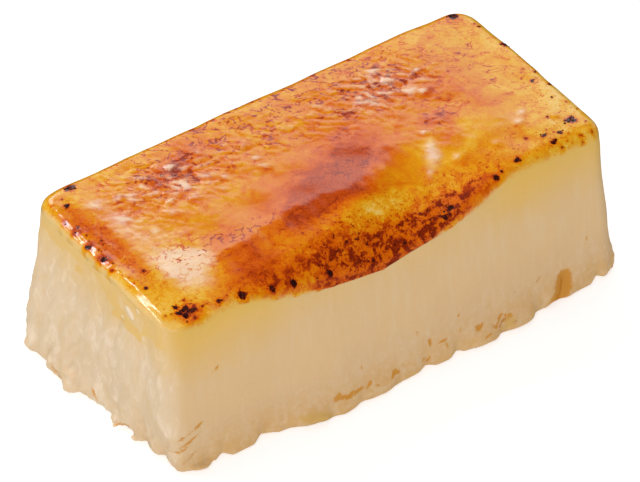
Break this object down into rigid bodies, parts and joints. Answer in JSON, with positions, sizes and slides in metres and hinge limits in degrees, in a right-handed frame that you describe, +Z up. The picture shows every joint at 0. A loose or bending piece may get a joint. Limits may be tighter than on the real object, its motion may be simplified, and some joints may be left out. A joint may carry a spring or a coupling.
{
  "type": "frozen crema catalana",
  "caption": "Rectangular bar of set custard with a torched caramel top, turned out of its tin, for serving on a plate.",
  "frame": {"origin": "centre of the bar's bounding box, on the plane of its flat foot", "axes": "+X along the bar, from its torn end to its calm end; -Y out of the long front wall with the sagged shoulder; +Z up, towards the caramel"},
  "size_m": [0.1002, 0.0528, 0.0338],
  "materials": {
    "custard": "pale yellow baked egg custard, moist and slightly translucent, satin, faint upright drag marks",
    "caramel": "torched sugar film, glossy, amber to dark brown in patches with burnt black specks"
  },
  "bodies": {
    "root": {"catalana_bar": "custard"}
  },
  "joints": []
}
